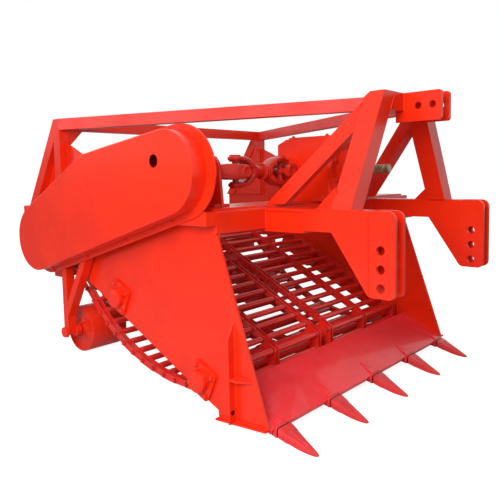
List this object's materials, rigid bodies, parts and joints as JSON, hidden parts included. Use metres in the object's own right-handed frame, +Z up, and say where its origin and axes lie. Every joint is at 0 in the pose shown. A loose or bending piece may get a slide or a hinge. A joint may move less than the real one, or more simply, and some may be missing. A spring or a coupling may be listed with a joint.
{
  "type": "cassava harvester",
  "caption": "Tractor-mounted root harvester: toothed blade and rod-link elevator web between side plates, with mast, gearbox, chain case and drum gauge wheels.",
  "frame": {"origin": "under the middle of the machine, on the ground that its teeth and wheels stand on", "axes": "+X to the machine's right seen from the tractor side looking back, +Y backwards away from the tractor, +Z up"},
  "size_m": [1.918, 2.1803, 1.472],
  "materials": {
    "red_paint": "glossy red-orange machine paint",
    "web_paint": "red paint, thinner and darker, on rods, links and shafts",
    "tooth_paint": "red paint over cast digging teeth",
    "joint_paint": "brownish red paint over forged joints",
    "bare_steel": "bare greased steel"
  },
  "bodies": {
    "frame": {"bearing_stand": "red_paint", "chain_case_back": "red_paint", "chain_case_cover": "red_paint", "cross_shaft": "joint_paint", "crossbeam": "red_paint", "deck_plate": "red_paint", "digging_blade": "red_paint", "drive_bearing_left": "red_paint", "drive_bearing_right": "red_paint", "drive_shaft": "web_paint", "gearbox": "red_paint", "hitch_arm_left": "red_paint", "hitch_arm_right": "red_paint", "input_shaft": "bare_steel", "mast_brace_left": "red_paint", "mast_brace_right": "red_paint", "mast_left": "red_paint", "mast_right": "red_paint", "nose_bearing_left": "red_paint", "nose_bearing_right": "red_paint", "nose_roller": "web_paint", "rear_beam": "red_paint", "rear_crossbar": "red_paint", "rear_frame_left": "red_paint", "rear_frame_right": "red_paint", "side_plate_left": "red_paint", "side_plate_right": "red_paint", "side_rail_left": "red_paint", "side_rail_right": "red_paint", "support_bearing_left": "red_paint", "support_bearing_right": "red_paint", "support_shaft": "web_paint", "tooth_1": "tooth_paint", "tooth_2": "tooth_paint", "tooth_3": "tooth_paint", "tooth_4": "tooth_paint", "tooth_5": "tooth_paint", "top_clevis": "red_paint", "top_rail_left": "red_paint", "top_rail_right": "red_paint", "web_return_left": "web_paint", "web_return_right": "web_paint", "web_upper_left": "web_paint", "web_upper_right": "web_paint", "wheel_axle_left": "bare_steel", "wheel_axle_right": "bare_steel", "wheel_bracket_left": "red_paint", "wheel_bracket_right": "red_paint", "wheel_hanger_left": "red_paint", "wheel_hanger_right": "red_paint"},
    "wheel_left": {"gauge_wheel_left": "red_paint"},
    "wheel_right": {"gauge_wheel_right": "red_paint"}
  },
  "joints": [
    {"name": "wheel_left_spin", "type": "hinge", "parent": "frame", "child": "wheel_left", "pos_m": [0.038, 0.63386, 0.127], "axis": [1, 0, 0], "continuous": true},
    {"name": "wheel_right_spin", "type": "hinge", "parent": "frame", "child": "wheel_right", "pos_m": [0.038, 0.63386, 0.127], "axis": [1, 0, 0], "continuous": true}
  ]
}
